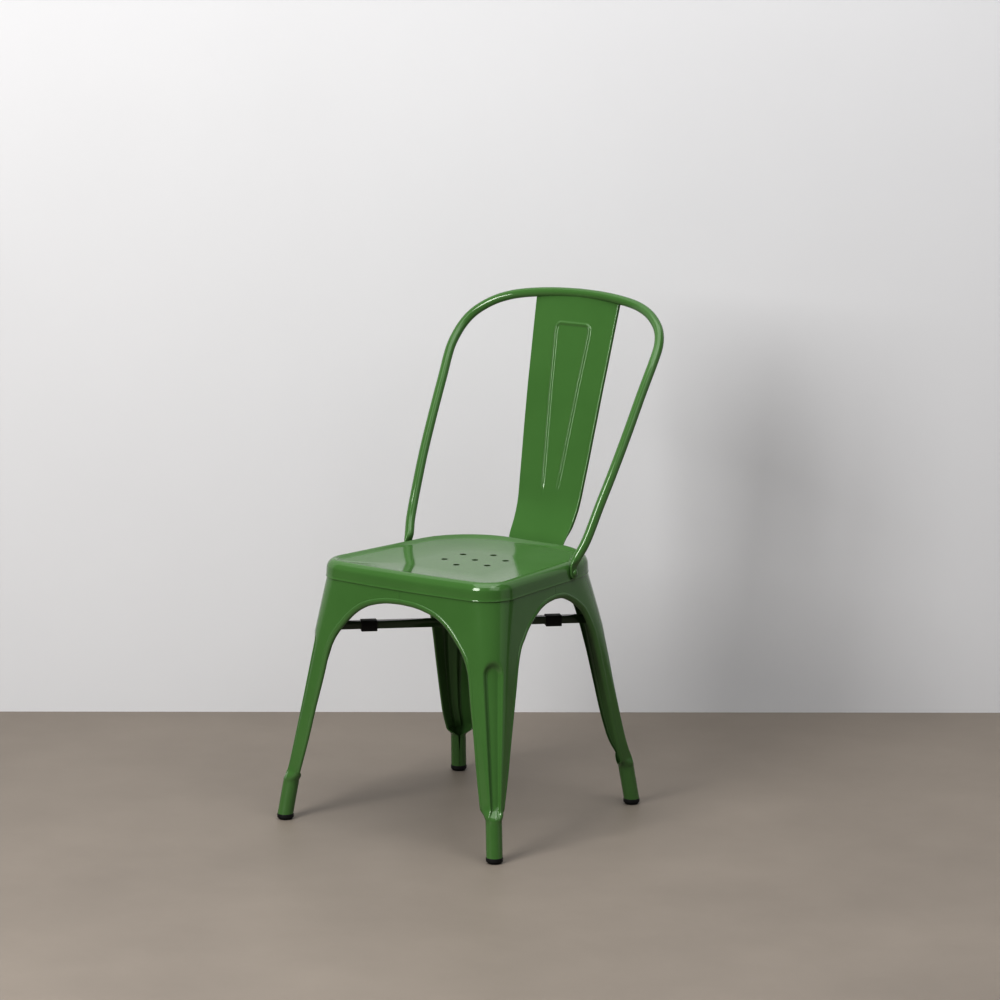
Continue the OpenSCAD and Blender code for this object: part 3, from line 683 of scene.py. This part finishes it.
# ------------------------------------------------------------------ splat
SPLAT = [[402, SEAT_BACK + 1.6], [411, SEAT_BACK + 1.6], [420, SEAT_BACK + 1.7], [429, 145.2], [438.5, 149.9],
         [449, 156.8], [460, 163.6], [473, 170.4], [488, 176.6], [505, 181.3], [525, 186], [562, 194.8],
         [600, 203.3], [640, 212.6], [682, 222.4], [721, 232.3], [761, 242.2], [780, 247], [835, 260.9]]
SPLAT_STOP = 822.6


def splat_half(z):
    return (112 + 57 * sat((z - 430) / 392) ** 0.8) / 2


def rib_x(z):
    return mix(14.5, 33.5, sat((z - 505) / 260))


def rib_rise(x, z):
    """Height of the raised U above the splat's face."""
    r, top = RIB_TURN, RIB_TOP
    rx = rib_x(min(z, top - r))
    if z < top - r:
        d = abs(abs(x) - rx)
    elif abs(x) < rx - r:
        d = abs(z - top)
    else:
        d = abs(math.hypot(abs(x) - rx + r, z - top + r) - r)
    return RIB_RISE * ease((z - 498) / 40) * ease((RIB_HALF - d) / RIB_HALF)


def back_splat():
    """Pressed sheet from its foot on the skirt to the underside of the hoop."""
    zs = sorted(set([402, 403, 405] + list(np.arange(408, 500, 3.5)) + list(np.arange(500, 760, 5))
                    + list(np.arange(760, 796, 1.2)) + list(np.arange(798, SPLAT_STOP, 5)) + [SPLAT_STOP]))
    # columns follow the ribs, so that the pressed lines stay crisp
    near = [-10, -9, -8, -7, -6, -5, -4] + [-3.4 + 0.4 * i for i in range(18)] + [4, 5, 6.5, 9]
    cols = ([("mid", k) for k in (0, 0.25, 0.5, 0.75)] + [("rib", k) for k in near]
            + [("side", k) for k in (0.2, 0.4, 0.6, 0.8, 1)]
            + [("rim", k) for k in (0.25, 0.5, 0.75, 1, 1.4, 1.8, 2)])
    cols = [(-1,) + c for c in cols[:0:-1]] + [(1,) + c for c in cols]
    bend = RIM_BEND
    grids = []
    for inner in (False, True):
        rows = []
        for zr in zs:
            w = splat_half(zr)
            g = ease((zr - 428) / 30)
            row = []
            rib = rib_x(min(zr, RIB_TOP - RIB_TURN))
            for s, kind, k in cols:
                x, turn, drop = w, 1, 0
                if kind == "mid":
                    x, turn = k * (rib - 10), 0
                elif kind == "rib":
                    x, turn = rib + k, 0
                elif kind == "side":
                    x, turn = mix(rib + 9, w - bend, k), 0
                elif k <= 1:
                    x, turn = w - bend + bend * math.sin(k * math.pi / 2), k
                    drop = bend * (1 - math.cos(k * math.pi / 2)) * g
                else:
                    drop = mix(bend, RIM_DEEP, k - 1) * g
                lift = (6.2 - 6.3 * (x / 84.5) ** 2) * sat((zr - 780) / (SPLAT_STOP - 780))
                z = zr + lift
                y = smooth_table(SPLAT, z)
                dy = (smooth_table(SPLAT, z + 2) - smooth_table(SPLAT, z - 2)) / 4
                nrm = unit(np.array([0, -1, dy]))
                t_in = SHEET if inner else 0
                a = turn * math.pi / 2 * g
                deep = drop + t_in * math.cos(a) - rib_rise(x, z)
                row.append(np.array([s * (x - t_in * math.sin(a)), y, z]) - nrm * deep)
            rows.append(row)
        grids.append(np.array(rows))
    verts, faces = shell_mesh(*grids)
    obj = make_object("splat_sheet", verts, faces, "green_paint", 45)
    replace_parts(obj, "back_splat")


back_splat()


# ------------------------------------------- pieces kept from the CAD form
def softened(name, source, slot, width):
    """A bevelled copy of a CAD node's form."""
    src = bpy.data.objects.get(source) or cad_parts[source]
    bm = bmesh.new()
    bm.from_mesh(src.data)
    bm.transform(src.matrix_world)
    bmesh.ops.remove_doubles(bm, verts=bm.verts, dist=1e-5)
    bmesh.ops.dissolve_limit(bm, angle_limit=math.radians(1), verts=bm.verts, edges=bm.edges)
    edges = [e for e in bm.edges if len(e.link_faces) == 2 and e.calc_face_angle(0) > math.radians(30)]
    bmesh.ops.bevel(bm, geom=edges, offset=width * MM, offset_type="OFFSET", segments=3, profile=0.5,
                    affect="EDGES", clamp_overlap=True)
    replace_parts(finish_mesh(name, bm, slot, 40), source)


# the brace bars take the darker copy of the paint: painted shade under the seat
for nm in ("a", "b"):
    softened("brace_bar_" + nm, "cross_brace_" + nm, "painted_shade_green", 0.5)
for end_name in ("front", "rear"):
    for side in ("left", "right"):
        softened("stack_pad_%s_%s" % (end_name, side), "pad_%s_%s" % (end_name, side), "pad_plastic", 0.9)

# ------------------------------------------------------------------- feet
FOOT_PROFILE = [(0, 0), (9.6, 0), (10.4, 0.25), (11.0, 0.9), (11.5, 1.5), (11.6, 2.2), (11.7, 2.9), (12.6, 3.0),
                (13.2, 3.2), (13.45, 3.7), (13.5, 4.4), (13.5, 8.2), (13.4, 8.9), (13.1, 9.3), (12.6, 9.4),
                (11.6, 9.4), (10.6, 9.5), (10.4, 9.8), (10.4, 15.6), (9.9, 16.4), (0, 16.5)]
for back, end_name in ((False, "front"), (True, "rear")):
    f = FOOT_Z / SHOULDER_Z
    x, y = [mix(FOOT[back][i], SHOULDER[back][i], f) for i in (0, 1)]
    for s, side in ((1, "left"), (-1, "right")):
        verts, faces = lathe(FOOT_PROFILE, 64, Matrix.Translation((s * x, y, 0)))
        foot = make_object("rubber_foot_%s_%s" % (end_name, side), verts, faces, "foot_rubber", 35)
        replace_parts(foot, "foot_%s_%s" % (end_name, side))


# --------------------------------------------------------------- fasteners
def at_hoop(side, depth):
    return (Matrix.Translation((side * FACE_X, HOOP_Y, BOLT_Z)) @ Matrix.Rotation(side * TURN, 4, "Z")
            @ Matrix.Rotation(side * math.pi / 2, 4, "Y") @ Matrix.Translation((0, 0, depth)))


def at_splat(side, depth):
    return (Matrix.Translation((side * SPLAT_X, SEAT_BACK + SEAT_OUT, BOLT_Z))
            @ Matrix.Rotation(-math.pi / 2, 4, "X") @ Matrix.Translation((0, 0, depth)))


def dome_bolt(grip):
    head = [(5.75 * math.cos(a), 0.35 + 2.85 * math.sin(a)) for a in np.linspace(math.pi / 2, 0, 12)]
    return head + [(5.75, 0.1), (5.6, 0), (3.2, 0), (3.0, -0.2), (3.0, -grip + 0.5), (2.5, -grip), (0, -grip)]


for s, side in ((1, "left"), (-1, "right")):
    verts, faces = lathe(dome_bolt(14), 40, at_hoop(s, 4.5))
    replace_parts(make_object("dome_bolt_hoop_" + side, verts, faces, "green_paint", 40), "hoop_bolt_" + side)
    verts, faces = lathe(dome_bolt(11.2), 40, at_splat(s, 1.6))
    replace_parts(make_object("dome_bolt_splat_" + side, verts, faces, "green_paint", 40), "splat_bolt_" + side)

nuts, washers = ([], []), ([], [])
NUT = ((3.1, 0.35, 0), (3.4, 0, 0), (4.9, 0, 0), (5.75, 0.5, 1), (5.75, 4.5, 1), (4.9, 5, 0), (3.4, 5, 0),
       (3.1, 4.65, 0), (3.1, 0.35, 0))  # radius, height and whether the ring is six-sided
WASHER = [(3.2, 0.15), (3.35, 0), (6.1, 0), (6.25, 0.15), (6.25, 0.95), (6.1, 1.1), (3.35, 1.1), (3.2, 0.95),
          (3.2, 0.15)]
RING = 48
for s in (1, -1):
    for place in (at_hoop, at_splat):
        rings = []
        m = place(s, -8.4)
        for r, z, six in NUT:
            ring = []
            for j in range(RING):
                a = 2 * math.pi * j / RING
                k = a % (math.pi / 3) - math.pi / 6
                rr = r * math.cos(math.pi / 6) / math.cos(k) if six else r
                ring.append(m @ Vector((rr * math.cos(a), rr * math.sin(a), z)))
            rings.append(ring)
        v = [p for ring in rings for p in ring]
        fc = [(i * RING + j, i * RING + (j + 1) % RING, (i + 1) * RING + (j + 1) % RING, (i + 1) * RING + j)
              for i in range(len(rings) - 1) for j in range(RING)]
        add_to(nuts, v, fc)
        v, fc = lathe(WASHER, RING, place(s, -3.3))
        add_to(washers, v, fc)
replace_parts(make_object("lock_nuts", *nuts, "zinc_steel", 25), "fixing_nuts")
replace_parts(make_object("plain_washers", *washers, "zinc_steel", 35), "fixing_washers")


# ------------------------------------------------------------------ studio
def plain_material(name, colour, rough, vary, scale, one_sided=False):
    mat, tree, bsdf, coord = base_material(name)
    low = tuple(c * (1 - vary) for c in colour)
    high = tuple(c * (1 + vary) for c in colour)
    vary_colour(tree, bsdf, noise(tree, coord, (-900, 200), scale, 6, 0.6), low, high)
    bsdf.inputs["Roughness"].default_value = rough
    bsdf.inputs["Specular IOR Level"].default_value = 0.3
    if one_sided:
        out = tree.nodes["Material Output"]
        clear = node(tree, "ShaderNodeBsdfTransparent", (100, -200))
        geo = node(tree, "ShaderNodeNewGeometry", (-100, 300))
        pick = node(tree, "ShaderNodeMixShader", (300, 100))
        tree.links.new(geo.outputs["Backfacing"], pick.inputs[0])
        tree.links.new(bsdf.outputs[0], pick.inputs[1])
        tree.links.new(clear.outputs[0], pick.inputs[2])
        tree.links.new(pick.outputs[0], out.inputs["Surface"])
    return mat


def plane(name, corners, mat):
    mesh = bpy.data.meshes.new(name)
    mesh.from_pydata(corners, [], [tuple(range(len(corners)))])
    obj = bpy.data.objects.new(name, mesh)
    scene.collection.objects.link(obj)
    mesh.materials.append(mat)


floor_mat = plain_material("floor_plain", (0.216, 0.188, 0.161), 0.55, 0.07, 3.0)
wall_mat = plain_material("wall_plain", (0.597, 0.599, 0.614), 0.9, 0.01, 2.0, True)
plane("studio_floor", [(-9, -9, 0), (9, -9, 0), (9, 9, 0), (-9, 9, 0)], floor_mat)
along = Vector((0.7914, 0.6112, 0))
foot_of_wall = Vector((0.6112, -0.7914, 0)) * -0.6655
wall_top = Vector((0, 0, 4.5))
a, b = foot_of_wall - along * 5, foot_of_wall + along * 2.9
plane("studio_wall", [a, b, b + wall_top, a + wall_top], wall_mat)


def lamp(name, at, target, size, power, colour=(1, 1, 1), size_y=None):
    light = bpy.data.lights.new(name, "AREA")
    light.shape = "RECTANGLE"
    light.size = size
    light.size_y = size_y or size
    light.energy = power
    light.color = colour
    obj = bpy.data.objects.new(name, light)
    scene.collection.objects.link(obj)
    obj.location = at
    obj.rotation_euler = (Vector(target) - Vector(at)).to_track_quat("-Z", "Y").to_euler()


centre = Vector((0, 0, 0.45))
lamp("key_softbox", centre + Vector((-0.045, -0.894, 0.45)) * 3.6, centre, 1.3, 134, (1, 0.99, 0.97), 1.8)
lamp("top_softbox", (0.35, -0.6, 3.6), (0, 0, 0.3), 3.6, 128)
lamp("side_panel", (2.6, 0.73, 0.8), (0.17, -0.2, 0.4), 2.0, 5.6, size_y=1.8)
lamp("wall_wash", (2.7, -0.6, 2.8), (1.7, 1.95, 0.6), 2.4, 38)
world = bpy.data.worlds.new("studio_air")
world.use_nodes = True
air = world.node_tree
dim = air.nodes["Background"]
dim.inputs["Color"].default_value = (0.9, 0.95, 1.0, 1)
dim.inputs["Strength"].default_value = 0.06
pale = air.nodes.new("ShaderNodeBackground")
pale.inputs["Color"].default_value = (0.72, 0.72, 0.73, 1)
pale.inputs["Strength"].default_value = 1.0
path = air.nodes.new("ShaderNodeLightPath")
blend = air.nodes.new("ShaderNodeMixShader")
air.links.new(path.outputs["Is Camera Ray"], blend.inputs[0])
air.links.new(dim.outputs[0], blend.inputs[1])
air.links.new(pale.outputs[0], blend.inputs[2])
air.links.new(blend.outputs[0], air.nodes["World Output"].inputs["Surface"])
scene.world = world
